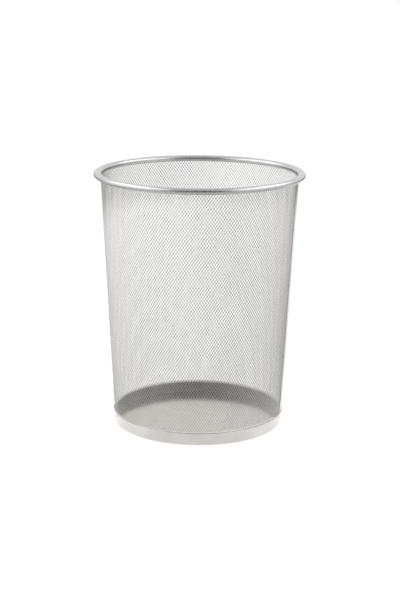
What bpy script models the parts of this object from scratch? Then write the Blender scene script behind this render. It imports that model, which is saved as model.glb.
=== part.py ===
"""Round wastebasket of expanded steel mesh, with a rolled rim and a solid foot.

Metres, +Z up. The origin is the middle of the foot, on the surface that the basket stands on.
The front is -Y. The seam of the mesh is on the right, a little in front of +X.
"""

import math

import bmesh
import bpy
from mathutils import Vector

# The whole basket
HEIGHT = 0.3622
MESH_TOP_DIAMETER = 0.2767  # outside of the mesh cone, carried on up to the full height
MESH_FOOT_DIAMETER = 0.2394  # outside of the mesh cone, carried on down to the ground
CLEARANCE = 0.0003  # between pieces that touch on the real basket

# The mesh sheet. It is drawn coarse: the real one has 214 columns and 57 rows of the same shape.
MESH_SHEET = 0.0006
MESH_COLUMNS = 22
MESH_ROWS = 6
OPEN_SHARE = 0.55  # share of the sheet that is openings
NECK_DEPTH = 0.0005  # by which the mesh is drawn in from its cone where it enters the band
NECK_HEIGHT = 0.018  # above the band, over which it is drawn in

# The rolled rim
RIM_SHEET = 0.0005
RIM_ROLL_WIDTH = 0.0108
RIM_ROLL_HEIGHT = 0.0088
RIM_SKIRT_HEIGHT = 0.0073  # of the part inside the mesh, from the top of the rim
RIM_QUARTER_STEPS = 3  # sides to each quarter of the roll

# The band round the foot
BAND_SHEET = 0.0005
BAND_HEIGHT = 0.0175
LIP_HEIGHT = 0.002  # of the upright part of the lip that holds the mesh
LIP_SLOPE = 0.001  # height over which the band steps out to the lip
LIP_STAND_OFF = 0.0005  # from the cone of the mesh to the inside of the lip
FOOT_WIDTH = 0.0045
FOOT_BEND_RADIUS = 0.0007
FOOT_BEND_STEPS = 3

# The floor
FLOOR_SHEET = 0.0005
FLOOR_EDGE_HEIGHT = 0.006
FLOOR_BEND_RADIUS = 0.0015
FLOOR_BEND_STEPS = 3

# The strip over the seam
SEAM_SHEET = 0.0004
SEAM_WIDTH = 0.016
SEAM_ANGLE = math.radians(-11)  # of its middle, from +X towards the front
SEAM_COLUMNS = 4
SEAM_BENDS = 3  # by which it follows the mesh where that is drawn in

# Turned pieces have a corner at each quarter of a mesh column, so they lie parallel to the mesh
COLUMN_SIDES = 4
SIDES = COLUMN_SIDES * MESH_COLUMNS
MERGE_DISTANCE = 1e-6


def mesh_radius(height):
    """Outside radius of the mesh cone at a height above the ground."""
    widening = (MESH_TOP_DIAMETER - MESH_FOOT_DIAMETER) * height / HEIGHT
    return (MESH_FOOT_DIAMETER + widening) / 2


def neck(height):
    """How far the mesh is drawn in from its cone at a height above the ground."""
    share = (BAND_HEIGHT + NECK_HEIGHT - height) / NECK_HEIGHT
    return NECK_DEPTH * min(max(share, 0.0), 1.0) ** 2


def wall_point(angle, height, stand_off=0.0):
    """A point at this stand-off outside the mesh."""
    radius = mesh_radius(height) - neck(height) + stand_off
    return Vector((radius * math.cos(angle), radius * math.sin(angle), height))


def metal(name, colour, roughness, metallic):
    """A plain metal finish for one piece."""
    material = bpy.data.materials.new(name)
    material.use_nodes = True
    shader = material.node_tree.nodes["Principled BSDF"]
    shader.inputs["Base Color"].default_value = (*colour, 1.0)
    shader.inputs["Roughness"].default_value = roughness
    shader.inputs["Metallic"].default_value = metallic
    return material


def mesh_finish():
    """Silver enamel on expanded steel."""
    return metal("silver_enamel_mesh", (0.58, 0.57, 0.56), 0.42, 0.75)


def rim_finish():
    """Smooth bright silver on rolled steel."""
    return metal("bright_silver_rim", (0.62, 0.62, 0.62), 0.24, 0.95)


def band_finish():
    """Satin silver enamel on flat steel."""
    return metal("satin_silver_band", (0.60, 0.58, 0.56), 0.38, 0.8)


def floor_finish():
    """Satin silver enamel, seen inside the basket."""
    return metal("satin_silver_floor", (0.57, 0.56, 0.54), 0.4, 0.8)


def seam_finish():
    """Silver enamel on a flat strip."""
    return metal("silver_enamel_strip", (0.60, 0.59, 0.58), 0.36, 0.8)


def add_piece(name, mesh, material):
    """Puts a mesh in the scene under the name of its piece."""
    mesh.materials.append(material)
    piece = bpy.data.objects.new(name, mesh)
    bpy.context.scene.collection.objects.link(piece)
    return piece


def add_thickness(piece, sheet, offset):
    """Gives a surface the thickness of its sheet; offset -1 is all inwards and 0 is half each way."""
    solidify = piece.modifiers.new("sheet", "SOLIDIFY")
    solidify.thickness = sheet
    solidify.offset = offset
    solidify.use_even_offset = True


def turned_sheet(name, path, sheet, material):
    """A piece of turned sheet, from the middle line of its section as (radius, height) points."""
    mesh = bpy.data.meshes.new(name)
    points = [(radius, 0.0, height) for radius, height in path]
    edges = [(i, i + 1) for i in range(len(points) - 1)]
    mesh.from_pydata(points, edges, [])
    piece = add_piece(name, mesh, material)
    turn = piece.modifiers.new("turn", "SCREW")
    turn.axis = "Z"
    turn.angle = math.tau
    turn.steps = SIDES
    turn.render_steps = SIDES
    turn.use_merge_vertices = True
    turn.merge_threshold = MERGE_DISTANCE
    turn.use_smooth_shade = True
    add_thickness(piece, sheet, 0.0)
    return piece


def arc(centre, half_width, half_height, start, end, steps):
    """Points along an arc of an ellipse, both ends included."""
    angles = [start + (end - start) * i / steps for i in range(steps + 1)]
    return [
        (centre[0] + half_width * math.cos(a), centre[1] + half_height * math.sin(a))
        for a in angles
    ]


def rim_path():
    """Up inside the mesh, over the top, down the outside and under, as far as the mesh."""
    middle = HEIGHT - RIM_ROLL_HEIGHT / 2
    skirt_inset = MESH_SHEET + CLEARANCE + RIM_SHEET / 2
    skirt_foot = HEIGHT - RIM_SKIRT_HEIGHT
    inner = mesh_radius(middle) - skirt_inset
    half_width = (RIM_ROLL_WIDTH - RIM_SHEET) / 2
    half_height = (RIM_ROLL_HEIGHT - RIM_SHEET) / 2
    centre = (inner + half_width, middle)
    lowest = -math.pi / 2
    end_radius = mesh_radius(middle) + CLEARANCE + RIM_SHEET / 2
    end_angle = -math.acos((end_radius - centre[0]) / half_width)
    roll = arc(centre, half_width, half_height, math.pi, lowest, 3 * RIM_QUARTER_STEPS)
    under = arc(centre, half_width, half_height, lowest, end_angle, 1)
    return [(mesh_radius(skirt_foot) - skirt_inset, skirt_foot), *roll, *under[1:]]


def band_radius():
    """Middle line of the band below its lip: its outer face is flush with the inner face of the mesh."""
    mesh_end = BAND_HEIGHT - LIP_HEIGHT
    return mesh_radius(mesh_end) - neck(mesh_end) - MESH_SHEET - BAND_SHEET / 2


def band_path():
    """Down the lip outside the mesh, in under the mesh's edge, down the band and in under the foot."""
    lip_stand_off = LIP_STAND_OFF + BAND_SHEET / 2
    lip_foot = BAND_HEIGHT - LIP_HEIGHT
    step_foot = lip_foot - LIP_SLOPE
    bend_top = BAND_SHEET / 2 + FOOT_BEND_RADIUS
    upright = band_radius()
    centre = (upright - FOOT_BEND_RADIUS, bend_top)
    bend = arc(centre, FOOT_BEND_RADIUS, FOOT_BEND_RADIUS, 0.0, -math.pi / 2, FOOT_BEND_STEPS)
    return [
        (mesh_radius(BAND_HEIGHT) + lip_stand_off, BAND_HEIGHT),
        (mesh_radius(lip_foot) + lip_stand_off, lip_foot),
        (upright, step_foot),
        *bend,
        (upright - FOOT_WIDTH, BAND_SHEET / 2),
    ]


def floor_path():
    """Out from the middle, lying on the foot of the band, and up along the inside of the band."""
    level = BAND_SHEET + CLEARANCE + FLOOR_SHEET / 2
    edge_top = level + FLOOR_EDGE_HEIGHT
    bend_top = level + FLOOR_BEND_RADIUS
    outer = band_radius() - BAND_SHEET / 2 - CLEARANCE - FLOOR_SHEET / 2
    centre = (outer - FLOOR_BEND_RADIUS, bend_top)
    bend = arc(centre, FLOOR_BEND_RADIUS, FLOOR_BEND_RADIUS, -math.pi / 2, 0.0, FLOOR_BEND_STEPS)
    return [(0.0, level), *bend, (outer, edge_top)]


def strand_half_width(column_width, row_height):
    """Half the width of a strand that leaves the openings their share of the sheet."""
    to_side = column_width * row_height / (2 * math.hypot(column_width, row_height))
    return to_side * (1 - math.sqrt(OPEN_SHARE))


def lattice_surface():
    """The outer surface of the mesh: a plain edge at each end, and diamonds in offset rows between them."""
    surface = bmesh.new()
    lattice_foot = BAND_HEIGHT
    lattice_top = HEIGHT - RIM_SKIRT_HEIGHT
    levels = 2 * MESH_ROWS
    level_height = (lattice_top - lattice_foot) / levels
    edge_foot = BAND_HEIGHT - LIP_HEIGHT
    edge_top = HEIGHT - RIM_ROLL_HEIGHT / 2
    corners = {}

    def corner(side, height):
        """The vertex on the cone at this side and height, made when it is first asked for."""
        key = (side % SIDES, height)
        if key not in corners:
            angle = math.tau * key[0] / SIDES
            corners[key] = surface.verts.new(wall_point(angle, height))
        return corners[key]

    def level(number):
        return lattice_foot + number * level_height

    def first_side(number):
        """Where the joins of the strands start on this level: every other level is half a column on."""
        return COLUMN_SIDES // 2 * (number % 2)

    cells = []
    for column in range(MESH_COLUMNS):
        for number in range(1, levels):
            left = first_side(number) + COLUMN_SIDES * column
            middle = left + COLUMN_SIDES // 2
            diamond = (
                corner(middle, level(number - 1)),
                corner(left + COLUMN_SIDES, level(number)),
                corner(middle, level(number + 1)),
                corner(left, level(number)),
            )
            cells.append(surface.faces.new(diamond))
        left = COLUMN_SIDES * column
        across = range(left, left + COLUMN_SIDES + 1)
        tip = left + COLUMN_SIDES // 2
        foot_row = [corner(side, level(0)) for side in across]
        cells.append(surface.faces.new([*foot_row, corner(tip, level(1))]))
        top_row = [corner(side, level(levels)) for side in reversed(across)]
        cells.append(surface.faces.new([*top_row, corner(tip, level(levels - 1))]))
        for side in range(left, left + COLUMN_SIDES):
            for low, high in ((edge_foot, level(0)), (level(levels), edge_top)):
                edge_piece = (
                    corner(side, low),
                    corner(side + 1, low),
                    corner(side + 1, high),
                    corner(side, high),
                )
                surface.faces.new(edge_piece)

    middle_radius = mesh_radius((lattice_foot + lattice_top) / 2)
    column_width = math.tau * middle_radius / MESH_COLUMNS
    inset = strand_half_width(column_width, 2 * level_height)
    surface.normal_update()
    bmesh.ops.inset_individual(surface, faces=cells, thickness=inset, use_even_offset=True)
    bmesh.ops.delete(surface, geom=cells, context="FACES_ONLY")
    for vertex in surface.verts:
        angle = math.atan2(vertex.co.y, vertex.co.x)
        vertex.co = wall_point(angle, vertex.co.z)
    return surface


def make_mesh_wall():
    """The sheet of expanded steel, rolled into a cone that is open at both ends."""
    mesh = bpy.data.meshes.new("mesh_wall")
    surface = lattice_surface()
    surface.to_mesh(mesh)
    surface.free()
    wall = add_piece("mesh_wall", mesh, mesh_finish())
    add_thickness(wall, MESH_SHEET, -1.0)
    return wall


def make_seam_strip():
    """The flat strip down the outside of the mesh, from behind the lip to the underside of the rim."""
    foot = BAND_HEIGHT - LIP_HEIGHT + CLEARANCE
    top = HEIGHT - RIM_ROLL_HEIGHT - CLEARANCE
    bends = [BAND_HEIGHT + NECK_HEIGHT * i / SEAM_BENDS for i in range(SEAM_BENDS + 1)]
    surface = bmesh.new()
    rows = []
    for height in (foot, *bends, top):
        half_angle = SEAM_WIDTH / 2 / mesh_radius(height)
        angles = [
            SEAM_ANGLE + half_angle * (2 * i / SEAM_COLUMNS - 1) for i in range(SEAM_COLUMNS + 1)
        ]
        rows.append([surface.verts.new(wall_point(a, height, CLEARANCE)) for a in angles])
    for low, high in zip(rows, rows[1:]):
        for i in range(SEAM_COLUMNS):
            surface.faces.new((low[i], low[i + 1], high[i + 1], high[i]))
    mesh = bpy.data.meshes.new("side_seam_strip")
    surface.to_mesh(mesh)
    surface.free()
    mesh.shade_smooth()
    strip = add_piece("side_seam_strip", mesh, seam_finish())
    add_thickness(strip, SEAM_SHEET, 1.0)
    return strip


def clear_scene():
    """Starts from an empty scene."""
    for item in list(bpy.data.objects):
        bpy.data.objects.remove(item)


def main():
    """Builds the five pieces of the basket."""
    clear_scene()
    make_mesh_wall()
    make_seam_strip()
    turned_sheet("top_rim", rim_path(), RIM_SHEET, rim_finish())
    turned_sheet("base_band", band_path(), BAND_SHEET, band_finish())
    turned_sheet("floor_plate", floor_path(), FLOOR_SHEET, floor_finish())


main()
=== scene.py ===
"""Silver mesh wastebasket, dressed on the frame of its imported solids.

Metres, +Z up, the front towards -Y, the origin in the middle of the foot. The basket is an open
cone of expanded steel mesh with a rolled rim, a foot band, a pressed floor and a flat strip down
its seam, all silver. It stands in a white studio, and its metal mirrors a room with bright and
dark parts.
"""

from __future__ import annotations

import logging
import math
from collections.abc import Iterable, Sequence
from dataclasses import dataclass
from enum import Enum
from typing import Any

import bmesh
import bpy
from mathutils import Matrix, Vector


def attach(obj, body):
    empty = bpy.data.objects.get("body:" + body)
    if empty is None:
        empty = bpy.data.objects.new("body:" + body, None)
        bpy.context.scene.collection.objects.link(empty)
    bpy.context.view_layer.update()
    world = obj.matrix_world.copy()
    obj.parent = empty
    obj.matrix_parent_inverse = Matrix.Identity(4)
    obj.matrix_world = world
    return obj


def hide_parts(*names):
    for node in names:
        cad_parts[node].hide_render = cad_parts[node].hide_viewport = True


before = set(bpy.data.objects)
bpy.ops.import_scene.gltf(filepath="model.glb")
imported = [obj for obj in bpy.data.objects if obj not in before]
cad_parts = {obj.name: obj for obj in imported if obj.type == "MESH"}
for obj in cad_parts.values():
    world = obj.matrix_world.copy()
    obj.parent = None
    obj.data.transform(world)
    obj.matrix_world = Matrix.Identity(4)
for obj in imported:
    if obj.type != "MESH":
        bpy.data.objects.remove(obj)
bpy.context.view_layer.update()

log = logging.getLogger("mesh_wastebasket")

MILLIMETRE = 0.001
BODY = "root"

SEAM_ANGLE = math.radians(-11)  # from +X, in the photograph near the right-hand edge
MITRE_LIMIT = 0.3  # keeps the corner of a sharp bend from running out far
LAMP_WATTS = 4.0  # for each square metre of a lamp that is as bright as the background

Point = tuple[float, float]
Node = bpy.types.Node
Outputs = bpy.types.NodeOutputs
Socket = bpy.types.NodeSocket
Tree = bpy.types.NodeTree


def linear(hex_colour: str) -> tuple[float, float, float, float]:
    """Turns an sRGB colour to the linear one that shaders take.

    Args:
        hex_colour: six hex digits.

    Returns:
        Linear red, green and blue, and an alpha of 1.
    """
    channels = [int(hex_colour[i : i + 2], 16) / 255 for i in (0, 2, 4)]
    turned = [c / 12.92 if c <= 0.04045 else ((c + 0.055) / 1.055) ** 2.4 for c in channels]
    return (turned[0], turned[1], turned[2], 1.0)


def add_node(
    tree: Tree,
    kind: str,
    settings: dict[str, Any] | None = None,
    sockets: dict[str | int, Any] | None = None,
) -> Node:
    """Adds a node with its settings and links.

    Args:
        tree: The tree that the node goes in.
        kind: The node's type.
        settings: Values of the node's own properties.
        sockets: For each input, by name or number, a value, the output that feeds it, or a list
            of outputs that all feed it.

    Returns:
        The new node.
    """
    node = tree.nodes.new(kind)
    for name, value in (settings or {}).items():
        setattr(node, name, value)
    for key, value in (sockets or {}).items():
        socket = node.inputs[key]
        feeds = value if isinstance(value, list) else [value]
        for feed in feeds:
            if isinstance(feed, Socket):
                tree.links.new(feed, socket)
            else:
                socket.default_value = feed
    return node


class Nodes:
    """A node tree, with the steps that several trees here are made of."""

    def __init__(self, tree: Tree) -> None:
        """Takes the tree on."""
        self.tree = tree

    def math(self, operation: str, *values: Any) -> Socket:
        """One step of arithmetic on numbers or sockets."""
        sockets = dict(enumerate(values))
        return add_node(self.tree, "ShaderNodeMath", {"operation": operation}, sockets).outputs[0]

    def vector(self, operation: str, *values: Any) -> Outputs:
        """One step of vector arithmetic, whose result is in "Vector" or in "Value"."""
        sockets = dict(enumerate(values))
        settings = {"operation": operation}
        return add_node(self.tree, "ShaderNodeVectorMath", settings, sockets).outputs

    def axes(self, place: Socket) -> Outputs:
        """The three numbers of a vector."""
        return add_node(self.tree, "ShaderNodeSeparateXYZ", sockets={0: place}).outputs

    def ramp(
        self, value: Socket, ends: Point, results: Point = (0.0, 1.0), kind: str = "LINEAR"
    ) -> Socket:
        """Goes from one result to another while a value goes from one end to the other.

        Args:
            value: The value.
            ends: The ends. Beyond either, the result stays as it is there.
            results: The results at the two ends.
            kind: Blender's name for the course between them.

        Returns:
            The result.
        """
        sockets = {"Value": value, "From Min": ends[0], "From Max": ends[1]}
        sockets |= {"To Min": results[0], "To Max": results[1]}
        settings = {"interpolation_type": kind}
        return add_node(self.tree, "ShaderNodeMapRange", settings, sockets).outputs["Result"]

    def step(self, value: Socket, ends: Point) -> Socket:
        """A soft step from 0 to 1."""
        return self.ramp(value, ends, kind="SMOOTHSTEP")

    def blend(self, share: Socket, first: Any, second: Any) -> Socket:
        """The second number for its share, and the first for the rest."""
        sockets = {"Factor": share, "A": first, "B": second}
        mix = add_node(self.tree, "ShaderNodeMix", {"data_type": "FLOAT"}, sockets)
        return mix.outputs["Result"]

    def blend_colours(self, share: Socket, first: Any, second: Any) -> Socket:
        """The second colour for its share, and the first for the rest."""
        sockets = {
            MixSocket.FACTOR.value: share,
            MixSocket.COLOUR_A.value: first,
            MixSocket.COLOUR_B.value: second,
        }
        mix = add_node(self.tree, "ShaderNodeMix", {"data_type": "RGBA"}, sockets)
        return mix.outputs[MixSocket.COLOUR_RESULT.value]


class Slot(Enum):
    """The record's material slots."""

    MESH = "mesh"
    STRIP = "seam_strip"
    RIM = "rim"
    BAND = "band"
    FLOOR = "floor"


class MixSocket(Enum):
    """Numbers of a Mix node's sockets, which share their names."""

    FACTOR = 0
    COLOUR_A = 6
    COLOUR_B = 7
    COLOUR_RESULT = 2


@dataclass(frozen=True)
class SilverEnamel:
    """Aluminium-flake enamel, sprayed on steel and baked.

    The flakes make it a satin metal, a little uneven in tone. Baking leaves it faintly rippled,
    as orange peel is, and it lies thinner and brighter in some places than in others.
    """

    name: str
    colour: str
    shade: str
    roughness: float
    metallic: float
    cloud_mm: float = 22.0
    flake_share: float = 0.35
    flake_mm: float = 0.9  # the real flakes are under 0.1 mm, drawn coarse so that they show
    peel_mm: float = 1.6
    peel_depth_mm: float = 0.004
    joint_angle: float | None = None  # of a welded joint that runs up the piece
    joint_mm: float = 1.0
    joint_depth: float = 6.0  # in depths of the peel
    tone_range: Point = (0.45, 0.9)  # of the noise, from the shade to the full colour
    flake_range: Point = (0.3, 0.7)  # of the flakes' noise, from the smoothest to the roughest
    roughness_spread: float = 0.12

    def _noise(self, nodes: Nodes, where: Socket, size_mm: float, detail: float) -> Socket:
        """Noise whose features are this many millimetres across."""
        sockets = {"Vector": where, "Scale": 1 / (size_mm * MILLIMETRE), "Detail": detail}
        return add_node(nodes.tree, "ShaderNodeTexNoise", sockets=sockets).outputs["Fac"]

    def _joint(self, nodes: Nodes, where: Socket, angle: float) -> Socket:
        """1 on the thin line of the joint and 0 away from it.

        Args:
            nodes: The material's tree.
            where: Object coordinates.
            angle: Of the joint round the basket, in radians from +X.

        Returns:
            The mask.
        """
        sine, cosine = math.sin(angle), math.cos(angle)
        offset = nodes.vector("DOT_PRODUCT", where, (-sine, cosine, 0.0))["Value"]
        side = nodes.vector("DOT_PRODUCT", where, (cosine, sine, 0.0))["Value"]
        near = nodes.math("COMPARE", offset, 0.0, self.joint_mm / 2 * MILLIMETRE)
        return nodes.math("MULTIPLY", near, nodes.math("GREATER_THAN", side, 0.0))

    def build(self) -> bpy.types.Material:
        """Makes the material.

        Returns:
            The finished material.
        """
        material = bpy.data.materials.new(self.name)
        material.use_nodes = True
        nodes = Nodes(material.node_tree)
        shader = nodes.tree.nodes["Principled BSDF"]
        where = add_node(nodes.tree, "ShaderNodeTexCoord").outputs["Object"]
        clouds = self._noise(nodes, where, self.cloud_mm, detail=4.0)
        flakes = self._noise(nodes, where, self.flake_mm, detail=1.0)
        height = self._noise(nodes, where, self.peel_mm, detail=2.0)
        blend = nodes.math("MULTIPLY_ADD", flakes, self.flake_share, clouds)
        tone = nodes.ramp(blend, self.tone_range)
        colour = nodes.blend_colours(tone, linear(self.shade), linear(self.colour))
        spread = self.roughness_spread
        smoothest, roughest = self.roughness * (1 - spread), self.roughness * (1 + spread)
        roughness = nodes.ramp(flakes, self.flake_range, (smoothest, roughest))
        if self.joint_angle is not None:
            joint = self._joint(nodes, where, self.joint_angle)
            height = nodes.math("MULTIPLY_ADD", joint, -self.joint_depth, height)
        sockets = {"Height": height, "Distance": self.peel_depth_mm * MILLIMETRE}
        bump = add_node(nodes.tree, "ShaderNodeBump", sockets=sockets).outputs["Normal"]
        shader.inputs["Metallic"].default_value = self.metallic
        coat = {"Base Color": colour, "Roughness": roughness, "Normal": bump}
        for name, feed in {**coat, **self._painted_pale_part(nodes, where, colour)}.items():
            nodes.tree.links.new(feed, shader.inputs[name])
        return material

    def _painted_pale_part(self, nodes: Nodes, where: Socket, colour: Socket) -> dict[str, Socket]:
        """What the shader has where light is painted in as near-white: nothing else, on a full
        coat.
        """
        return {}


@dataclass(frozen=True)
class PaintedPaleInside(SilverEnamel):
    """The coat on the inner faces of the mesh.

    Near the mouth they have the full silver coat. Further down they are painted near-white and no
    metal to the eye, as painted light that washes out the back wall where it shows through the
    front one.
    """

    # painted light: near-white below the mouth, standing in for light that washes out the back wall
    painted_pale: str = "F2F1F0"
    painted_pale_metallic: float = 0.0
    fading: Point = (0.32, 0.285)  # heights between which the full coat turns to the painted near-white

    def _painted_pale_part(self, nodes: Nodes, where: Socket, colour: Socket) -> dict[str, Socket]:
        """Fades the full coat into the painted near-white, which is painted light, on the way down.
        """
        height = nodes.axes(where)["Z"]
        share = nodes.ramp(height, self.fading)
        coat = nodes.blend_colours(share, colour, linear(self.painted_pale))
        metallic = nodes.ramp(height, self.fading, (self.metallic, self.painted_pale_metallic))
        return {"Base Color": coat, "Metallic": metallic}


def dressed(piece: bpy.types.Object, slot: Slot, node: str) -> bpy.types.Object:
    """Puts a finished piece on the frame in the place of a CAD node.

    Args:
        piece: The finished piece.
        slot: The record's slot for its finish. Not used.
        node: The CAD node that it stands for.

    Returns:
        The piece.
    """
    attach(piece, BODY)
    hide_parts(node)
    triangles = sum(len(face.vertices) - 2 for face in piece.data.polygons)
    log.info("%s stands for %s: %d triangles", piece.name, node, triangles)
    return piece


def linked(name: str, data: bpy.types.ID) -> bpy.types.Object:
    """Makes an object of a mesh, a lamp or a lens and puts it in the scene."""
    piece = bpy.data.objects.new(name, data)
    bpy.context.scene.collection.objects.link(piece)
    return piece


def baked(piece: bpy.types.Object) -> None:
    """Turns what the modifiers make of a piece into its plain mesh."""
    evaluated = piece.evaluated_get(bpy.context.evaluated_depsgraph_get())
    mesh = bpy.data.meshes.new_from_object(evaluated)
    piece.modifiers.clear()
    piece.data = mesh
    mesh.name = piece.name


@dataclass(frozen=True)
class Cone:
    """The cone of the mesh sheet's outer face, which everything else is fitted to."""

    height: float = 0.3622
    top_diameter: float = 0.2767
    foot_diameter: float = 0.2394
    neck_depth: float = 0.0005  # by which the mesh is drawn in where it enters the band
    neck_height: float = 0.018  # over which it is drawn in
    neck_top: float = 0.0355

    def radius(self, height: float) -> float:
        """Radius at a height above the ground."""
        widening = (self.top_diameter - self.foot_diameter) * height / self.height
        return (self.foot_diameter + widening) / 2

    def necked(self, height: float) -> float:
        """Radius of the mesh at a height, with its drawn-in foot."""
        share = min(max((self.neck_top - height) / self.neck_height, 0.0), 1.0)
        return self.radius(height) - self.neck_depth * share**2

    def widening(self, foot: float, top: float) -> float:
        """Gain in radius for each metre of height, between two heights."""
        return (self.radius(top) - self.radius(foot)) / (top - foot)


@dataclass(frozen=True)
class Fits:
    """The sheets and the gap between them."""

    clearance: float = 0.0003
    mesh_sheet: float = 0.0006
    steel_sheet: float = 0.0005


CONE = Cone()
FITS = Fits()


class NodeGroup(Nodes):
    """A Geometry Nodes tree with named inputs, and the setting of them on a piece."""

    def __init__(
        self,
        name: str,
        floats: Iterable[str],
        whole: Iterable[str],
        finishes: Iterable[str] = ("Finish",),
    ) -> None:
        """Makes a tree with geometry in and out and these inputs.

        Args:
            name: The tree's name.
            floats: Names of the inputs for sizes.
            whole: Names of the inputs for counts.
            finishes: Names of the inputs for materials, the main one first.
        """
        super().__init__(bpy.data.node_groups.new(name, "GeometryNodeTree"))
        self.tree.is_modifier = True
        self._socket("Geometry", "Geometry", "OUTPUT")
        self._socket("Geometry", "Geometry")
        kinds = {"Float": floats, "Int": whole, "Material": finishes}
        self.identifiers = {
            name: self._socket(name, kind) for kind, names in kinds.items() for name in names
        }
        self.start = add_node(self.tree, "NodeGroupInput").outputs

    def _socket(self, name: str, kind: str, side: str = "INPUT") -> str:
        """Adds a socket to the tree's interface and gives its identifier."""
        kind = f"NodeSocket{kind}"
        return self.tree.interface.new_socket(name, in_out=side, socket_type=kind).identifier

    def math(self, operation: str, *values: Any) -> Socket:
        """One step of arithmetic on numbers, sockets or named inputs."""
        found = [self.start[value] if isinstance(value, str) else value for value in values]
        return super().math(operation, *found)

    def made(self, kind: str, sockets: dict[str, Any] | None = None, **settings: Any) -> Socket:
        """Adds a geometry node and gives what it makes, which is its first output."""
        return add_node(self.tree, f"GeometryNode{kind}", settings, sockets).outputs[0]

    def position(self) -> Outputs:
        """The three numbers of each corner's place."""
        return self.axes(self.made("InputPosition"))

    def way(self, x: Any = 0.0, y: Any = 0.0, z: Any = 0.0) -> Socket:
        """A vector of three numbers or sockets."""
        return add_node(self.tree, "ShaderNodeCombineXYZ", sockets={0: x, 1: y, 2: z}).outputs[0]

    def moved(self, geometry: Socket, x: Socket, y: Socket, z: Socket) -> Socket:
        """Moves every corner to the place that these three numbers give."""
        return self.made("SetPosition", {"Geometry": geometry, "Position": self.way(x, y, z)})

    def rolled(self, geometry: Socket, radius: Socket, angle: Socket, height: Socket) -> Socket:
        """Moves every corner to a place round the axis.

        Args:
            geometry: What is moved.
            radius: Each corner's distance from the axis.
            angle: Its angle from +X, in radians.
            height: Its height.

        Returns:
            The moved geometry.
        """
        x = self.math("MULTIPLY", radius, self.math("COSINE", angle))
        y = self.math("MULTIPLY", radius, self.math("SINE", angle))
        return self.moved(geometry, x, y, height)

    def finish(self, geometry: Socket, others: dict[str, Socket] | None = None) -> None:
        """Ends the tree in plain geometry with its materials.

        Args:
            geometry: What the tree has made.
            others: For each finish but the main one, the faces that have it.
        """
        shape = self.made("RealizeInstances", {"Geometry": geometry})
        for name, faces in {"Finish": True, **(others or {})}.items():
            sockets = {"Geometry": shape, "Selection": faces, "Material": self.start[name]}
            shape = self.made("SetMaterial", sockets)
        add_node(self.tree, "NodeGroupOutput", sockets={"Geometry": shape})

    def apply(self, piece: bpy.types.Object, values: dict[str, Any]) -> None:
        """Runs the tree on a piece with these inputs and keeps the plain result.

        Args:
            piece: The object whose mesh the tree starts from.
            values: Input name to value.
        """
        modifier = piece.modifiers.new(self.tree.name, "NODES")
        modifier.node_group = self.tree
        for name, value in values.items():
            modifier[self.identifiers[name]] = value
        baked(piece)


class Sector(Enum):
    """The six lengths of the mesh wall, in order round from the seam, by the way each one faces."""

    RIGHT = "right"
    BACK = "back"
    BACK_LEFT = "back_left"
    LEFT = "left"
    FRONT = "front"
    FRONT_RIGHT = "front_right"


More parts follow.
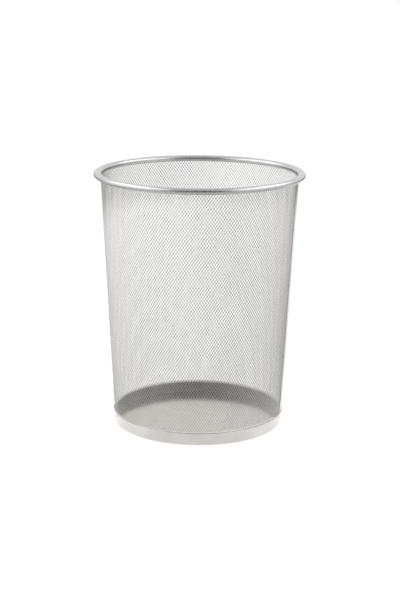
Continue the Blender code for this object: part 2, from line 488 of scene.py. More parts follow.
@dataclass
class MeshWall:
    """The sheet of expanded steel: slit and stretched into diamonds, and rolled into a cone.

    Its strands keep their length, so the rows close up where the cone widens the columns. They
    are twisted, as in any expanded sheet that isn't rolled flat, so the mesh is more open seen
    from one side than from the other. The rows climb a little round the basket, and the
    columns lean a little the same way.
    """

    finish: SilverEnamel
    # painted light: the inner faces turn near-white below the mouth
    inside: SilverEnamel
    # painted light: the strands' side faces are paler and less metallic, so the silhouettes don't
    # go dark
    edges: SilverEnamel
    columns: int = 214
    strand_length: float = 0.00351
    foot: float = 0.0163
    top: float = 0.3567
    sheet_mm: float = 0.25
    open_share: float = 0.71
    unevenness: float = 0.15  # by which the rising strands are wider and the falling ones narrower
    bond_share: float = 0.06  # how far the wide joins blunt the sides of each opening, in columns
    twist_mm: float = 0.15  # by which the two sides of an opening stand above and below its joins
    crown_mm: float = 0.04  # by which the middle of a strand stands above its edges
    climb: float = 2.0  # rows, once round
    lean: float = 0.0195  # columns for each row, as the columns don't run quite straight up
    flat_rows: float = 1.2  # rows at each end over which the twist is pressed out
    spare_rows: int = 5  # made above the sheet's end, to be trimmed as the rows climb
    merge_distance: float = 0.002  # in columns, rows and millimetres
    square_on: float = 0.5  # past which a face counts as looking outwards or inwards

    def column_width(self, height: float) -> float:
        """Width of a diamond at a height."""
        return math.tau * CONE.radius(height) / self.columns

    def slant(self, height: float) -> float:
        """Angle of a strand from the upright at a height, in radians."""
        return math.asin(self.column_width(height) / (2 * self.strand_length))

    @property
    def closing(self) -> float:
        """Change of that angle for each row."""
        return (self.column_width(self.top) - self.column_width(self.foot)) / (
            self.top - self.foot
        )

    @property
    def row_count(self) -> float:
        """How many rows lie between the two ends of the sheet."""
        return (self.slant(self.top) - self.slant(self.foot)) / self.closing

    def cell(self) -> bpy.types.Mesh:
        """One opening with half of each strand round it, flat.

        Its X is in columns, its Y in rows and its Z in millimetres, outwards.

        Returns:
            A frame of six faces. Its outer corners are the joins, and the middle lines of the
            strands run between them.
        """
        even = 1 - math.sqrt(self.open_share)
        falling = 0.5 * (1 - even * (1 - self.unevenness))
        rising = 0.5 * (1 - even * (1 + self.unevenness))
        side = (falling + rising) / 2
        lean = (falling - rising) / 2
        blunt = self.bond_share
        join = self.crown_mm - self.twist_mm
        high = 0.0
        middle = -self.twist_mm
        low = -2 * self.twist_mm
        points = [
            (0.5, 0.0, join),
            (0.0, 0.5, join),
            (-0.5, 0.0, join),
            (0.0, -0.5, join),
            (side - blunt, lean - blunt, low),
            (side - blunt, lean + blunt, low),
            (lean, side, middle),
            (blunt - side, blunt - lean, high),
            (blunt - side, -blunt - lean, high),
            (-lean, -side, middle),
        ]
        right, upper, left, lower, right_low, right_high, tip, left_high, left_low, foot = range(
            len(points)
        )
        faces = [
            (right, right_high, right_low),
            (right, upper, tip, right_high),
            (upper, left, left_high, tip),
            (left, left_low, left_high),
            (left, lower, foot, left_low),
            (lower, right, right_low, foot),
        ]
        mesh = bpy.data.meshes.new("mesh_cell")
        mesh.from_pydata(points, [], faces)
        return mesh

    def _sizes(self) -> dict[str, float]:
        """The tree's inputs for sizes that all six lengths of the wall share."""
        return {
            "Row Count": self.row_count,
            "Climb": self.climb / self.columns,
            "Lean": self.lean,
            "Flat Rows": self.flat_rows,
            "Sheet": self.sheet_mm,
            "Seam Angle": SEAM_ANGLE,
            "Column Turn": math.tau / self.columns,
            "Strand Length": self.strand_length,
            "Foot Slant": self.slant(self.foot),
            "Closing": self.closing,
            "Foot Height": self.foot,
            "Foot Radius": CONE.radius(self.foot),
            "Widening": CONE.widening(self.foot, self.top),
            "Neck Depth": CONE.neck_depth,
            "Neck Rise": CONE.neck_top - self.foot,
            "Neck Height": CONE.neck_height,
        }

    def plan(self) -> NodeGroup:
        """Makes the tree that repeats the cell over the sheet and rolls the sheet into the cone.

        Returns:
            The tree.
        """
        group = NodeGroup(
            "expanded_mesh_cone",
            ("Start Column", *self._sizes()),
            ("Columns", "Rows"),
            ("Finish", "Inner Finish", "Edge Finish"),
        )
        even = self._rows_of_cells(group, 0.0)
        odd = self._rows_of_cells(group, 0.5)
        sheet = self._trimmed(group, self._climbing(group, [even, odd]))
        solid = self._thickened(group, self._pressed(group, sheet))
        # the inner faces get a finish with painted light low down, and the side faces a paler one
        # that paints light on the silhouettes
        outwards = self._outwards(group)
        inner = group.math("LESS_THAN", outwards, -self.square_on)
        edge = group.math("COMPARE", outwards, 0.0, self.square_on)
        rolled = self._rolled(group, solid)
        group.finish(rolled, {"Inner Finish": inner, "Edge Finish": edge})
        return group

    def _outwards(self, group: NodeGroup) -> Socket:
        """Works out how far a face of the rolled sheet looks outwards.

        Args:
            group: The tree.

        Returns:
            1 for a face that looks away from the axis and -1 for one that looks towards it.
        """
        flat = group.vector("MULTIPLY", group.made("InputPosition"), (1, 1, 0))["Vector"]
        away = group.vector("NORMALIZE", flat)["Vector"]
        return group.vector("DOT_PRODUCT", away, group.made("InputNormal"))["Value"]

    def _rows_of_cells(self, group: NodeGroup, offset: float) -> Socket:
        """Cells in straight rows, a row below the sheet's end and more above it to trim.

        Args:
            group: The tree.
            offset: Of the first column and row, in columns and rows.

        Returns:
            The cells, as instances.
        """
        across = group.math("SUBTRACT", "Columns", 1)
        along = group.math("SUBTRACT", "Rows", 1)
        size = {"Size X": across, "Size Y": along}
        counts = {"Vertices X": group.start["Columns"], "Vertices Y": group.start["Rows"]}
        grid = group.made("MeshGrid", {**size, **counts})
        right = group.math("MULTIPLY_ADD", across, 0.5, offset)
        up = group.math("MULTIPLY_ADD", along, 0.5, offset - 1)
        places = group.made("SetPosition", {"Geometry": grid, "Offset": group.way(right, up)})
        cell = group.start["Geometry"]
        return group.made("InstanceOnPoints", {"Points": places, "Instance": cell})

    def _welded(self, group: NodeGroup, surface: Socket) -> Socket:
        """Merges the corners that cells share."""
        sockets = {"Geometry": surface, "Distance": self.merge_distance}
        return group.made("MergeByDistance", sockets)

    def _climbing(self, group: NodeGroup, cells: list[Socket]) -> Socket:
        """The cells joined into one surface whose rows climb from the seam on.

        Args:
            group: The tree.
            cells: The sets of cells.

        Returns:
            The surface, with X counted from the seam.
        """
        joined = group.made("JoinGeometry", {"Geometry": cells})
        surface = self._welded(group, group.made("RealizeInstances", {"Geometry": joined}))
        axes = group.position()
        straight = group.math("ADD", axes["X"], "Start Column")
        row = group.math("MULTIPLY_ADD", straight, "Climb", axes["Y"])
        from_middle = group.math("MULTIPLY_ADD", "Row Count", -0.5, axes["Y"])
        column = group.math("MULTIPLY_ADD", from_middle, "Lean", straight)
        return group.moved(surface, column, row, axes["Z"])

    def _trimmed(self, group: NodeGroup, sheet: Socket) -> Socket:
        """Cuts the surface off level at both ends.

        Args:
            group: The tree.
            sheet: The surface.

        Returns:
            The surface between the two ends.
        """
        row = group.position()["Y"]
        below = group.math("LESS_THAN", row, 0.0)
        outside = group.math("ADD", below, group.math("GREATER_THAN", row, "Row Count"))
        sockets = {"Geometry": sheet, "Selection": outside}
        kept = group.made("DeleteGeometry", sockets, domain="FACE")
        axes = group.position()
        level = group.math("MINIMUM", group.math("MAXIMUM", axes["Y"], 0.0), "Row Count")
        return group.moved(kept, axes["X"], level, axes["Z"])

    def _pressed(self, group: NodeGroup, sheet: Socket) -> Socket:
        """Presses the twist out of the strands towards both ends, where rim and band hold them.

        Args:
            group: The tree.
            sheet: The surface.

        Returns:
            The pressed surface.
        """
        axes = group.position()
        to_top = group.math("SUBTRACT", "Row Count", axes["Y"])
        nearest = group.math("MINIMUM", axes["Y"], to_top)
        share = group.math("DIVIDE", nearest, "Flat Rows")
        depth = group.math("MULTIPLY", axes["Z"], group.math("MINIMUM", share, 1.0))
        return group.moved(sheet, axes["X"], axes["Y"], depth)

    def _thickened(self, group: NodeGroup, sheet: Socket) -> Socket:
        """Gives the surface the thickness of its sheet, inwards, as one closed body.

        Args:
            group: The tree.
            sheet: The surface.

        Returns:
            The closed body, still flat.
        """
        inwards = group.way(z=group.math("MULTIPLY", "Sheet", -1.0))
        sockets = {"Mesh": sheet, "Offset": inwards, "Offset Scale": 1.0, "Individual": False}
        walls = group.made("ExtrudeMesh", sockets, mode="FACES")
        turned = group.made("FlipFaces", {"Mesh": walls})
        return self._welded(group, group.made("JoinGeometry", {"Geometry": [sheet, turned]}))

    def _rolled(self, group: NodeGroup, flat: Socket) -> Socket:
        """Rolls the flat sheet into the cone: columns go round, rows go up, Z goes outwards.

        Args:
            group: The tree.
            flat: The closed body, still flat.

        Returns:
            The cone, in metres.
        """
        axes = group.position()
        angle = group.math("MULTIPLY_ADD", axes["X"], "Column Turn", "Seam Angle")
        slant = group.math("MULTIPLY_ADD", axes["Y"], "Closing", "Foot Slant")
        foot_sine = group.math("SINE", "Foot Slant")
        spread = group.math("SUBTRACT", group.math("SINE", slant), foot_sine)
        width = group.math("MULTIPLY", "Strand Length", 2.0)
        rise = group.math("DIVIDE", group.math("MULTIPLY", width, spread), "Closing")
        foot_radius = group.math("MULTIPLY_ADD", axes["Z"], MILLIMETRE, "Foot Radius")
        cone = group.math("MULTIPLY_ADD", rise, "Widening", foot_radius)
        below = group.math("MAXIMUM", group.math("SUBTRACT", "Neck Rise", rise), 0.0)
        held = group.math("MINIMUM", group.math("DIVIDE", below, "Neck Height"), 1.0)
        neck = group.math("MULTIPLY", group.math("MULTIPLY", held, held), "Neck Depth")
        radius = group.math("SUBTRACT", cone, neck)
        return group.rolled(flat, radius, angle, group.math("ADD", rise, "Foot Height"))

    def build(self) -> list[bpy.types.Object]:
        """Makes the six lengths of the wall.

        Returns:
            The pieces.
        """
        group = self.plan()
        shared = {
            **self._sizes(),
            "Rows": math.ceil(self.row_count) + self.spare_rows,
            "Finish": self.finish.build(),
            "Inner Finish": self.inside.build(),
            "Edge Finish": self.edges.build(),
        }
        starts = [round(self.columns * i / len(Sector)) for i in range(len(Sector) + 1)]
        pieces = []
        for sector, first, last in zip(Sector, starts, starts[1:]):
            piece = linked(f"mesh_wall_{sector.value}", self.cell())
            here = {"Start Column": float(first), "Columns": last - first}
            group.apply(piece, {**shared, **here})
            smooth(piece.data)
            pieces.append(dressed(piece, Slot.MESH, "mesh_wall"))
        return pieces


def smooth(mesh: bpy.types.Mesh, sharp_degrees: float = 38.0) -> None:
    """Shades a mesh smooth, with its sharp edges kept.

    Args:
        mesh: The mesh.
        sharp_degrees: Edges that turn more than this stay sharp.
    """
    mesh.shade_smooth()
    mesh.set_sharp_from_angle(angle=math.radians(sharp_degrees))


def arc(
    centre: Point, half_width: float, half_height: float, start: float, end: float, steps: int
) -> list[Point]:
    """Points along an arc of an ellipse, both ends included.

    Args:
        centre: Middle of the ellipse.
        half_width: Half its width.
        half_height: Half its height.
        start: Angle of the first point, in radians.
        end: Angle of the last point.
        steps: How many steps lie between them.

    Returns:
        The points.
    """
    angles = [start + (end - start) * i / steps for i in range(steps + 1)]
    return [
        (centre[0] + half_width * math.cos(a), centre[1] + half_height * math.sin(a))
        for a in angles
    ]


def sheet_outline(path: Sequence[Point], sheet: float, edge_steps: int = 4) -> list[Point]:
    """Closed section of a bent sheet, with rounded edges, from its middle line.

    Args:
        path: The middle line.
        sheet: Thickness of the sheet.
        edge_steps: Steps round each edge of the sheet. An end on the axis stays square.

    Returns:
        The points of the outline, in order.
    """
    points = [Vector(p) for p in path]
    half = sheet / 2
    left: list[Point] = []
    right: list[Point] = []
    for i, point in enumerate(points):
        before = (point - points[i - 1]).normalized() if i > 0 else None
        after = (points[i + 1] - point).normalized() if i < len(points) - 1 else None
        way = (before or after) + (after or before)
        way.normalize()
        normal = Vector((-way.y, way.x))
        reach = half / max(MITRE_LIMIT, way.dot(after or before))
        left.append(tuple(point + normal * reach))
        right.append(tuple(point - normal * reach))
    outline = list(left)
    outline += _rounded_end(points[-1], points[-1] - points[-2], half, edge_steps)
    outline += list(reversed(right))
    outline += _rounded_end(points[0], points[0] - points[1], half, edge_steps)
    return outline


def _rounded_end(end: Vector, outwards: Vector, half: float, steps: int) -> list[Point]:
    """Points round the edge of a sheet, without the two corners that the sides already have.

    Args:
        end: Where the middle line ends.
        outwards: The way that it runs there.
        half: Half the sheet's thickness.
        steps: Steps round the edge.

    Returns:
        The points, or none at an end on the axis.
    """
    if end.x == 0.0:
        return []
    way = outwards.normalized()
    side = Vector((-way.y, way.x))
    turns = [math.pi / 2 - math.pi * i / steps for i in range(1, steps)]
    return [tuple(end + half * (way * math.cos(t) + side * math.sin(t))) for t in turns]


def turned_mesh(name: str, outline: Sequence[Point], sides: int) -> bpy.types.Mesh:
    """Turns a closed section round the axis.

    Args:
        name: The mesh's name.
        outline: Radius and height of each point. Points on the axis become poles.
        sides: How many sides the turned body has.

    Returns:
        A closed mesh whose faces point outwards.
    """
    shell = bmesh.new()
    rings: list[list[bmesh.types.BMVert]] = []
    for radius, height in outline:
        if radius <= 0.0:
            rings.append([shell.verts.new((0.0, 0.0, height))])
            continue
        angles = [math.tau * i / sides for i in range(sides)]
        rings.append(
            [shell.verts.new((radius * math.cos(a), radius * math.sin(a), height)) for a in angles]
        )
    for ring, following in zip(rings, rings[1:] + rings[:1]):
        _bridge(shell, ring, following, sides)
    bmesh.ops.recalc_face_normals(shell, faces=shell.faces)
    return as_mesh(shell, name)


def as_mesh(shell: bmesh.types.BMesh, name: str) -> bpy.types.Mesh:
    """Makes the mesh of a shell, which is used up."""
    mesh = bpy.data.meshes.new(name)
    shell.to_mesh(mesh)
    shell.free()
    return mesh


def _bridge(
    shell: bmesh.types.BMesh,
    ring: list[bmesh.types.BMVert],
    following: list[bmesh.types.BMVert],
    sides: int,
) -> None:
    """Joins two rings of a turned body, either of which may be a pole.

    Args:
        shell: The body.
        ring: Corners of the first ring, one for each side or only one.
        following: Corners of the next ring.
        sides: How many sides the body has.
    """
    if len(ring) == 1 and len(following) == 1:
        return
    for i in range(sides):
        corners = [ring[i % len(ring)], ring[(i + 1) % len(ring)]]
        corners += [following[(i + 1) % len(following)], following[i % len(following)]]
        shell.faces.new(list(dict.fromkeys(corners)))


def paint_shade_inside(mesh: bpy.types.Mesh, top: float, facing: float) -> None:
    """Gives the second finish, a darker one that paints in shade, to the upright faces that look
    towards the axis.

    Args:
        mesh: A turned mesh with two materials.
        top: Height up to which the faces change.
        facing: How squarely a face must look at the axis, up to 1.
    """
    for face in mesh.polygons:
        outwards = Vector((face.center.x, face.center.y, 0.0)).normalized()
        if face.center.z < top and face.normal.dot(outwards) < -facing:
            face.material_index = 1


@dataclass
class TurnedSheet:
    """A piece of bent sheet that goes round the axis: its section, turned and dressed."""

    name: str
    node: str
    slot: Slot
    path: Sequence[Point]  # the middle line of the sheet, as radius and height
    sheet: float = FITS.steel_sheet
    sides: int = 360

    def build(
        self, *finishes: SilverEnamel, painted_shade_below: float = 0.0, facing: float = 1.0
    ) -> bpy.types.Object:
        """Makes the piece.

        Args:
            finishes: Its finish, and the darker one that paints shade on its inside, if it has one.
            painted_shade_below: Height up to which its inside has the painted shade.
            facing: How squarely a face must look at the axis to get the painted shade, up to 1.
            facing: How squarely a face must look at the axis to be dull, up to 1.

        Returns:
            The piece, on the frame.
        """
        mesh = turned_mesh(self.name, sheet_outline(self.path, self.sheet), self.sides)
        for finish in finishes:
            mesh.materials.append(finish.build())
        paint_shade_inside(mesh, painted_shade_below, facing)
        smooth(mesh)
        return dressed(linked(self.name, mesh), self.slot, self.node)


@dataclass
class TopRim:
    """The rolled rim: a skirt inside the mesh, over the top, and a roll outward and under."""

    finish: SilverEnamel
    roll_width: float = 0.0108
    roll_height: float = 0.0088
    skirt_height: float = 0.0073
    quarter_steps: int = 12
    hidden_steps: int = 6

    def path(self) -> list[Point]:
        """Middle line of the section, from the foot of the skirt to the hidden end of the roll."""
        sheet = FITS.steel_sheet
        middle = CONE.height - self.roll_height / 2
        inset = FITS.mesh_sheet + FITS.clearance + sheet / 2
        skirt_foot = CONE.height - self.skirt_height
        inner = CONE.radius(middle) - inset
        half_width = (self.roll_width - sheet) / 2
        half_height = (self.roll_height - sheet) / 2
        centre = (inner + half_width, middle)
        end_radius = CONE.radius(middle) + FITS.clearance + sheet / 2
        end_angle = -math.acos((end_radius - centre[0]) / half_width)
        lowest = -math.pi / 2
        roll = arc(centre, half_width, half_height, math.pi, lowest, 3 * self.quarter_steps)
        under = arc(centre, half_width, half_height, lowest, end_angle, self.hidden_steps)
        return [(CONE.radius(skirt_foot) - inset, skirt_foot), *roll, *under[1:]]

    def build(self) -> bpy.types.Object:
        """Makes the rim."""
        return TurnedSheet("top_rim_hoop", "top_rim", Slot.RIM, self.path()).build(self.finish)


@dataclass
class MeshHem:
    """The uncut edge of the sheet below the lowest openings, which the lip leaves just in sight."""

    finish: SilverEnamel
    foot: float = 0.0158
    top: float = 0.0184
    sheet: float = 0.0003
    steps: int = 6

    def build(self) -> bpy.types.Object:
        """Makes the edge."""
        step = (self.top - self.foot) / self.steps
        heights = [self.foot + step * i for i in range(self.steps + 1)]
        path = [(CONE.necked(height) - self.sheet / 2, height) for height in heights]
        hem = TurnedSheet("mesh_wall_hem", "mesh_wall", Slot.MESH, path, self.sheet)
        return hem.build(self.finish)


@dataclass
class BaseBand:
    """The foot band: a lip that holds the mesh, a flat wall, and a foot turned in underneath."""

    finish: SilverEnamel
    # painted shade: a dark finish on the inner faces, standing in for the shade in the crease by
    # the floor
    inside: SilverEnamel
    height: float = 0.0175
    lip_height: float = 0.002
    lip_slope: float = 0.001
    lip_stand_off: float = 0.0005  # from the cone to the inside of the lip
    foot_width: float = 0.0045
    bend_radius: float = 0.0007
    bend_steps: int = 8
    painted_shade_facing: float = 0.7  # how squarely the faces with painted shade look at the axis

    @property
    def radius(self) -> float:
        """Radius of the middle of the sheet below the lip."""
        mesh_end = self.height - self.lip_height
        return CONE.necked(mesh_end) - FITS.mesh_sheet - FITS.steel_sheet / 2

    def path(self) -> list[Point]:
        """Middle line of the section, from the top of the lip to the inner edge of the foot."""
        sheet = FITS.steel_sheet
        stand_off = self.lip_stand_off + sheet / 2
        lip_foot = self.height - self.lip_height
        upper = Vector((CONE.radius(lip_foot) + stand_off, lip_foot))
        lower = Vector((self.radius, lip_foot - self.lip_slope))
        joggle = self._joggle(upper, lower)
        centre = (self.radius - self.bend_radius, sheet / 2 + self.bend_radius)
        bend = arc(
            centre, self.bend_radius, self.bend_radius, 0.0, -math.pi / 2, self.bend_steps
        )
        top = (CONE.radius(self.height) + stand_off, self.height - sheet / 2)
        return [top, *joggle, *bend, (self.radius - self.foot_width, sheet / 2)]

    def _joggle(self, upper: Vector, lower: Vector) -> list[Point]:
        """The soft S by which the sheet steps in under the mesh.

        Args:
            upper: Where the lip ends, as radius and height.
            lower: Where the flat wall begins.

        Returns:
            Its points, both ends included.
        """
        points = []
        for i in range(self.bend_steps + 1):
            share = i / self.bend_steps
            eased = share * share * (3 - 2 * share)
            points.append(
                (upper.x + (lower.x - upper.x) * eased, upper.y + (lower.y - upper.y) * share)
            )
        return points

    def build(self) -> bpy.types.Object:
        """Makes the band."""
        ring = TurnedSheet("base_band_ring", "base_band", Slot.BAND, self.path())
        return ring.build(
            self.finish, self.inside, painted_shade_below=self.height, facing=self.painted_shade_facing
        )


@dataclass
class FloorPlate:
    """The pressed floor, with its edge turned up along the inside of the band."""

    finish: SilverEnamel
    # painted shade: a dark finish inside the bend and the upturned edge, standing in for the shade
    # in the crease
    inside: SilverEnamel
    band: BaseBand
    edge_height: float = 0.006
    bend_radius: float = 0.0015
    bend_steps: int = 8
    rings: int = 12
    painted_shade_facing: float = 0.2  # so that its bend gets the painted shade too

    def path(self) -> list[Point]:
        """Middle line of the section, from the axis to the top of the upturned edge."""
        sheet = FITS.steel_sheet
        level = sheet + FITS.clearance + sheet / 2
        edge_top = level + self.edge_height
        outer = self.band.radius - sheet - FITS.clearance
        centre = (outer - self.bend_radius, level + self.bend_radius)
        flat = [(centre[0] * i / self.rings, level) for i in range(self.rings)]
        bend = arc(
            centre, self.bend_radius, self.bend_radius, -math.pi / 2, 0.0, self.bend_steps
        )
        return [*flat, *bend, (outer, edge_top)]

    def build(self) -> bpy.types.Object:
        """Makes the floor."""
        pan = TurnedSheet("floor_pan", "floor_plate", Slot.FLOOR, self.path())
        return pan.build(
            self.finish, self.inside, painted_shade_below=self.band.height, facing=self.painted_shade_facing
        )


@dataclass
class SeamStrip:
    """The flat strip down the outside of the seam, and the marks of its spot welds."""

    finish: SilverEnamel
    width: float = 0.016
    sheet: float = 0.0004
    foot: float = 0.0158
    top: float = 0.3531
    across_steps: int = 12
    edge_steps: int = 4
    up_steps: int = 24
    weld_diameter: float = 0.0036
    weld_rise: float = 0.00012
    weld_profile: tuple[Point, ...] = ((0.0, 0.2), (0.5, 0.25), (0.75, 0.9), (0.86, 1.0))
    weld_sides: int = 16
    weld_lines: int = 2
    weld_rows: int = 13
    weld_from_edge: float = 0.0042
    weld_from_end: float = 0.02
    weld_sunk: float = 0.00005  # into the strip, so that no gap shows under a mark

    def _point(self, offset: float, height: float, stand_off: float) -> Vector:
        """A point of the strip in space.

        Args:
            offset: Its distance from the strip's middle line, along the surface.
            height: Its height.
            stand_off: Its distance from the mesh.

        Returns:
            The point.
        """
        radius = CONE.necked(height)
        angle = SEAM_ANGLE + offset / radius
        reach = radius + stand_off
        return Vector((reach * math.cos(angle), reach * math.sin(angle), height))

    def section(self) -> list[Point]:
        """Closed section across the strip: offset along the surface and stand-off, in order."""
        sheet = self.sheet
        inner = FITS.clearance
        steps = self.across_steps
        edge = sheet / 2
        half = self.width / 2 - edge
        turn = math.pi / 2
        lower = [(-half + 2 * half * i / steps, inner) for i in range(steps + 1)]
        right = arc((half, inner + edge), edge, edge, -turn, turn, self.edge_steps)
        upper = [(half - 2 * half * i / steps, inner + sheet) for i in range(steps + 1)]
        left = arc((-half, inner + edge), edge, edge, turn, 3 * turn, self.edge_steps)
        return [*lower, *right[1:-1], *upper, *left[1:-1]]

    def build(self) -> list[bpy.types.Object]:
        """Makes the strip and its weld marks."""
        finish = self.finish.build()
        shell = bmesh.new()
        section = self.section()
        heights = [
            self.foot + (self.top - self.foot) * i / self.up_steps
            for i in range(self.up_steps + 1)
        ]
        rings = [[shell.verts.new(self._point(o, h, s)) for o, s in section] for h in heights]
        for ring, following in zip(rings, rings[1:]):
            _bridge(shell, ring, following, len(section))
        shell.faces.new(rings[0])
        shell.faces.new(rings[-1])
        bmesh.ops.recalc_face_normals(shell, faces=shell.faces)
        mesh = as_mesh(shell, "seam_strip_flat")
        mesh.materials.append(finish)
        smooth(mesh)
        strip = dressed(linked("seam_strip_flat", mesh), Slot.STRIP, "side_seam_strip")
        return [strip, self.welds(finish)]

    def _weld_mark(self) -> bpy.types.Mesh:
        """One weld: a shallow dish with a raised ring round it, flat, in metres."""
        radius = self.weld_diameter / 2
        dish = [(share * radius, rise * self.weld_rise) for share, rise in self.weld_profile]
        side = [(radius, 0.0), (radius, -self.weld_sunk), (0.0, -self.weld_sunk)]
        return turned_mesh("weld_mark", [*dish, *side], self.weld_sides)

    def _weld_sizes(self) -> dict[str, float]:
        """The tree's inputs for sizes of the two lines of welds."""
        foot = self.foot + self.weld_from_end
        return {
            "Angle": SEAM_ANGLE,
            "Line Spacing": self.width - 2 * self.weld_from_edge,
            "Foot Height": foot,
            "Length": self.top - self.foot - 2 * self.weld_from_end,
            "Foot Radius": CONE.radius(foot) + FITS.clearance + self.sheet,
            "Widening": CONE.widening(self.foot, self.top),
        }

    def plan(self) -> NodeGroup:
        """Makes the tree that sets the weld marks down the strip in two lines.

        Returns:
            The tree.
        """
        group = NodeGroup("spot_weld_lines", self._weld_sizes(), ("Rows",))
        size = {"Size X": group.start["Line Spacing"], "Size Y": group.start["Length"]}
        counts = {"Vertices X": self.weld_lines, "Vertices Y": group.start["Rows"]}
        grid = group.made("MeshGrid", {**size, **counts})
        mark = group.start["Geometry"]
        marks = group.made("InstanceOnPoints", {"Points": grid, "Instance": mark})
        real = group.made("RealizeInstances", {"Geometry": marks})
        axes = group.position()
        up = group.math("MULTIPLY_ADD", "Length", 0.5, axes["Y"])
        cone = group.math("MULTIPLY_ADD", up, "Widening", "Foot Radius")
        angle = group.math("ADD", group.math("DIVIDE", axes["X"], cone), "Angle")
        radius = group.math("ADD", cone, axes["Z"])
        group.finish(group.rolled(real, radius, angle, group.math("ADD", up, "Foot Height")))
        return group

    def welds(self, finish: bpy.types.Material) -> bpy.types.Object:
        """Makes the weld marks of both lines as one piece.

        Args:
            finish: The strip's own enamel, which covers them.

        Returns:
            The piece.
        """
        marks = linked("seam_spot_welds", self._weld_mark())
        rest = {"Rows": self.weld_rows, "Finish": finish}
        self.plan().apply(marks, {**self._weld_sizes(), **rest})
        smooth(marks.data)
        return dressed(marks, Slot.STRIP, "side_seam_strip")


@dataclass(frozen=True)
class Softbox:
    """A square soft lamp, placed by the way to it from the basket and turned to it."""

    name: str
    azimuth: float  # degrees from the front, to the right
    elevation: float  # degrees above the basket's middle
    distance: float
    width: float
    height: float
    brightness: float  # 1 is as bright as the white background

    def build(self, aim: Vector) -> None:
        """Makes the lamp, turned to this point."""
        lamp = bpy.data.lights.new(self.name, "AREA")
        lamp.shape = "RECTANGLE"
        lamp.size = self.width
        lamp.size_y = self.height
        lamp.energy = LAMP_WATTS * self.brightness * self.width * self.height
        box = linked(self.name, lamp)
        around = math.radians(self.azimuth)
        up = math.radians(self.elevation)
        way = Vector(
            (math.sin(around) * math.cos(up), -math.cos(around) * math.cos(up), math.sin(up))
        )
        box.location = aim + way * self.distance
        box.rotation_euler = way.to_track_quat("Z", "Y").to_euler()


@dataclass(frozen=True)
class MirroredRoom:
    """The room as metal mirrors it: a brightness for each way that a mirrored ray goes.

    It is white but for a grey ceiling, a bright left wall and an unlit camera side. Each pair
    has the two ends of a soft change along one axis of the way, a vector of length 1 with X to
    the right, Y to the back and Z upwards: none of the thing at the first, all of it at the
    second.
    """

    ceiling: float = 0.55
    ceiling_upwards: Point = (0.3, 0.5)
    ceiling_forwards: Point = (0.3, -0.05)
    left_wall: float = 1.6
    left_wall_aside: Point = (-0.8, -0.92)
    left_wall_downwards: Point = (0.5, 0.3)
    unlit: float = 0.04
    unlit_forwards: Point = (-0.7, -0.88)
    unlit_downwards: Point = (0.62, 0.5)

    def brightness(self, nodes: Nodes) -> Socket:
        """Works the brightness out.

        Args:
            nodes: The world's tree.

        Returns:
            The brightness, where the white background has 1.
        """
        way = nodes.axes(add_node(nodes.tree, "ShaderNodeTexCoord").outputs["Generated"])
        back, up = way["Y"], way["Z"]
        high = nodes.step(up, self.ceiling_upwards)
        overhead = nodes.math("MULTIPLY", high, nodes.step(back, self.ceiling_forwards))
        above = nodes.ramp(overhead, (0.0, 1.0), (1.0, self.ceiling))
        aside = nodes.step(way["X"], self.left_wall_aside)
        left = nodes.math("MULTIPLY", aside, nodes.step(up, self.left_wall_downwards))
        lit = nodes.blend(left, above, self.left_wall)
        forwards = nodes.step(back, self.unlit_forwards)
        unlit = nodes.math("MULTIPLY", forwards, nodes.step(up, self.unlit_downwards))
        return nodes.blend(unlit, lit, self.unlit)


@dataclass(frozen=True)
class MirroredFloor:
    """The floor as metal mirrors it: a brightness for each place on it.

    A pool of light lies round the basket, with a dimmer ring beyond it. The basket's shade and
    the far end are nearly dark. Each pair has the two ends of a soft change, in metres, with Y
    away from the camera. A slope is the distance to the side over the distance to the front or
    back.
    """

    before: float = 0.92
    beside: float = 1.12
    beside_slope: Point = (0.3, 0.9)
    beside_back: Point = (-0.02, 0.1)
    slope_base: float = 0.03  # added to the distance to the front or back
    ring: float = 0.5
    ring_right: float = 1.0
    right_aside: Point = (0.1, 0.4)
    right_back: Point = (0.0, 0.3)
    ring_start: Point = (0.2, 0.45)
    ring_end: Point = (0.9, 1.2)
    shade: float = 0.1
    shade_slope: Point = (0.22, 0.12)
    shade_back: Point = (0.5, 0.7)
    far: float = 0.02
    far_distance: Point = (1.4, 1.9)
    far_back: Point = (0.6, 1.2)

    def brightness(self, nodes: Nodes) -> Socket:
        """Works the brightness out.

        Args:
            nodes: The floor's tree.

        Returns:
            The brightness, where the white background has 1.
        """
        place = add_node(nodes.tree, "ShaderNodeTexCoord").outputs["Object"]
        axes = nodes.axes(place)
        right, back = axes["X"], axes["Y"]
        distance = nodes.vector("LENGTH", place)["Value"]
        along = nodes.math("ADD", nodes.math("ABSOLUTE", back), self.slope_base)
        slope = nodes.math("DIVIDE", nodes.math("ABSOLUTE", right), along)
        to_side = nodes.step(slope, self.beside_slope)
        beside = nodes.math("MAXIMUM", to_side, nodes.step(back, self.beside_back))
        pool = nodes.blend(beside, self.before, self.beside)
        aside = nodes.step(right, self.right_aside)
        on_right = nodes.math("MULTIPLY", aside, nodes.step(back, self.right_back))
        ring = nodes.blend(on_right, self.ring, self.ring_right)
        past_ring = nodes.math("MULTIPLY", nodes.step(distance, self.ring_end), beside)
        outer = nodes.blend(past_ring, ring, self.beside)
        lit = nodes.blend(nodes.step(distance, self.ring_start), pool, outer)
        behind = nodes.step(back, self.shade_back)
        shade = nodes.math("MULTIPLY", behind, nodes.step(slope, self.shade_slope))
        shaded = nodes.blend(shade, lit, self.shade)
        distant = nodes.step(distance, self.far_distance)
        far = nodes.math("MULTIPLY", distant, nodes.step(back, self.far_back))
        return nodes.blend(far, shaded, self.far)


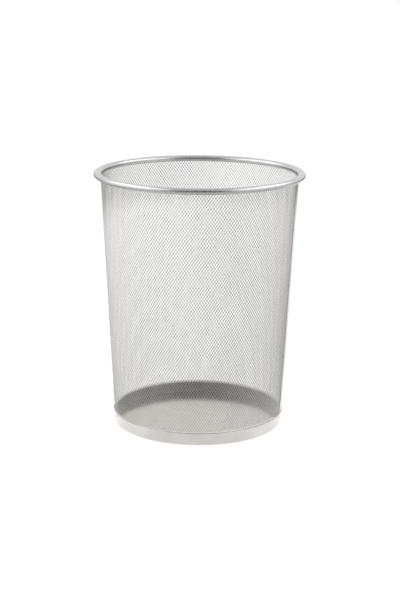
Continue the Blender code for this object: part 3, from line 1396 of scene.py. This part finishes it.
@dataclass
class Studio:
    """White floor and background and soft lamps, round which metal mirrors a room of its own.

    Brightness is counted from the white background's, which is 1.
    """

    floor_radius: float = 30.0
    floor_sides: int = 96
    floor_paper: str = "F4F4F4"
    floor_whiteness: float = 0.92  # how much of it is pure white to the camera and to metal
    fill: float = 1.15  # brightness of the world as even light
    room: MirroredRoom = MirroredRoom()
    mirrored_floor: MirroredFloor = MirroredFloor()
    aim: tuple[float, float, float] = (0.0, 0.0, 0.18)
    boxes: tuple[Softbox, ...] = (
        Softbox("softbox_left", -86.0, 47.0, 1.9, 2.4, 1.0, 1.35),
        Softbox("softbox_right", 86.0, 47.0, 1.9, 2.4, 1.0, 1.25),
    )

    def _rays(self, nodes: Nodes) -> tuple[Socket, Socket]:
        """Whether a ray sees its goal straight from the camera, and whether in a mirror."""
        path = add_node(nodes.tree, "ShaderNodeLightPath").outputs
        direct = nodes.math("MAXIMUM", path["Is Camera Ray"], path["Is Transmission Ray"])
        return direct, path["Is Glossy Ray"]

    def world(self) -> None:
        """Makes the world: white where it is seen, the room where it is mirrored, and even as
        light."""
        world = bpy.data.worlds.new("white_studio")
        world.use_nodes = True
        nodes = Nodes(world.node_tree)
        nodes.tree.nodes.clear()
        direct, glossy = self._rays(nodes)
        mirrored = nodes.blend(glossy, self.fill, self.room.brightness(nodes))
        strength = nodes.blend(direct, mirrored, 1.0)
        sockets = {"Color": linear("FFFFFF"), "Strength": strength}
        light = add_node(nodes.tree, "ShaderNodeBackground", sockets=sockets)
        add_node(nodes.tree, "ShaderNodeOutputWorld", sockets={"Surface": light.outputs[0]})
        bpy.context.scene.world = world

    def paper(self) -> bpy.types.Material:
        """Makes the floor's material: nearly white where it is seen or mirrored, and plain paper
        to all other light."""
        material = bpy.data.materials.new("white_paper_sweep")
        material.use_nodes = True
        nodes = Nodes(material.node_tree)
        nodes.tree.nodes.clear()
        direct, glossy = self._rays(nodes)
        brightness = nodes.blend(glossy, 1.0, self.mirrored_floor.brightness(nodes))
        seen = nodes.math("MAXIMUM", direct, glossy)
        share = nodes.math("MULTIPLY", seen, self.floor_whiteness)
        matt = {"Color": linear(self.floor_paper)}
        paper = add_node(nodes.tree, "ShaderNodeBsdfDiffuse", sockets=matt)
        white = add_node(nodes.tree, "ShaderNodeEmission", sockets={"Strength": brightness})
        sockets = {0: share, 1: paper.outputs[0], 2: white.outputs[0]}
        mixed = add_node(nodes.tree, "ShaderNodeMixShader", sockets=sockets)
        add_node(nodes.tree, "ShaderNodeOutputMaterial", sockets={"Surface": mixed.outputs[0]})
        return material

    def floor(self) -> None:
        """Makes the floor, which keeps a trace of the basket's shadow."""
        shell = bmesh.new()
        bmesh.ops.create_circle(
            shell, cap_ends=True, segments=self.floor_sides, radius=self.floor_radius
        )
        mesh = as_mesh(shell, "studio_floor")
        mesh.materials.append(self.paper())
        linked("studio_floor", mesh)

    def build(self) -> None:
        """Makes the whole studio."""
        self.world()
        self.floor()
        for box in self.boxes:
            box.build(Vector(self.aim))
        bpy.context.scene.view_settings.view_transform = "Standard"
        log.info("studio with %d soft lamps", len(self.boxes))


@dataclass(frozen=True)
class PhotographCamera:
    """The camera that was fitted to the outlines of the basket."""

    place: tuple[float, float, float] = (0.0019, -1.9776, 0.6842)
    pitch_down: float = math.radians(14.416)
    roll: float = math.radians(0.448)
    focal_pixels: float = 1431.3
    long_side_pixels: int = 600
    sensor: float = 36.0
    reach: float = 100.0

    def build(self) -> None:
        """Makes the camera and takes it into use."""
        lens = bpy.data.cameras.new("photograph_camera")
        lens.sensor_width = self.sensor
        lens.lens = self.focal_pixels * self.sensor / self.long_side_pixels
        lens.clip_end = self.reach
        camera = linked("photograph_camera", lens)
        tilt = Matrix.Rotation(math.pi / 2 - self.pitch_down, 4, "X")
        roll = Matrix.Rotation(self.roll, 4, "Z")
        camera.matrix_world = Matrix.Translation(self.place) @ tilt @ roll
        bpy.context.scene.camera = camera


def main() -> None:
    """Builds the studio and the basket, piece by piece."""
    PhotographCamera().build()
    Studio().build()
    mesh_enamel = SilverEnamel("silver_enamel_mesh", "ACAAA8", "A2A09E", 0.33, 0.95)
    rim_enamel = SilverEnamel(
        "bright_silver_rim",
        "C8C8C8",
        "C0C0C0",
        0.28,
        1.0,
        flake_share=0.03,
        peel_depth_mm=0.0008,
        joint_angle=SEAM_ANGLE,
    )
    band_enamel = SilverEnamel(
        "satin_silver_band",
        "DCD8D4",
        "D2CECA",
        0.12,
        1.0,
        flake_share=0.1,
        peel_depth_mm=0.0015,
        joint_angle=SEAM_ANGLE,
    )
    floor_enamel = SilverEnamel(
        "satin_silver_floor", "DEDAD4", "D4D0CA", 0.16, 1.0, flake_share=0.1, peel_depth_mm=0.0015
    )
    # painted shade: dark finish for the inside of the band and the floor's bend, where shade falls
    # in the crease
    inside = SilverEnamel("painted_shade_enamel_inside", "7E7C7B", "706E6D", 0.42, 0.6)
    strip_enamel = SilverEnamel("silver_enamel_strip", "E0DDDB", "D4D1CF", 0.3, 0.95)
    # painted light: the mesh's inner faces turn near-white below the mouth, washing out the back
    # wall
    painted_pale = PaintedPaleInside("silver_enamel_painted_pale", "ACAAA8", "A2A09E", 0.33, 0.95)
    # painted light: paler, less metallic side faces of the strands, so the silhouettes don't go
    # dark
    painted_light_edges = SilverEnamel("matt_enamel_painted_light_edges", "CECCCA", "C4C2C0", 0.4, 0.4)
    MeshWall(mesh_enamel, painted_pale, painted_light_edges).build()
    # painted light: the hem is paler than the mesh, lifting the shade in the crevice above the lip
    painted_light_hem_enamel = SilverEnamel("painted_light_enamel_hem", "ECEAE8", "E2E0DE", 0.4, 0.2)
    MeshHem(painted_light_hem_enamel).build()
    TopRim(rim_enamel).build()
    band = BaseBand(band_enamel, inside)
    band.build()
    FloorPlate(floor_enamel, inside, band).build()
    SeamStrip(strip_enamel).build()


if __name__ == "__main__":
    logging.basicConfig(level=logging.INFO, format="%(message)s")
    main()
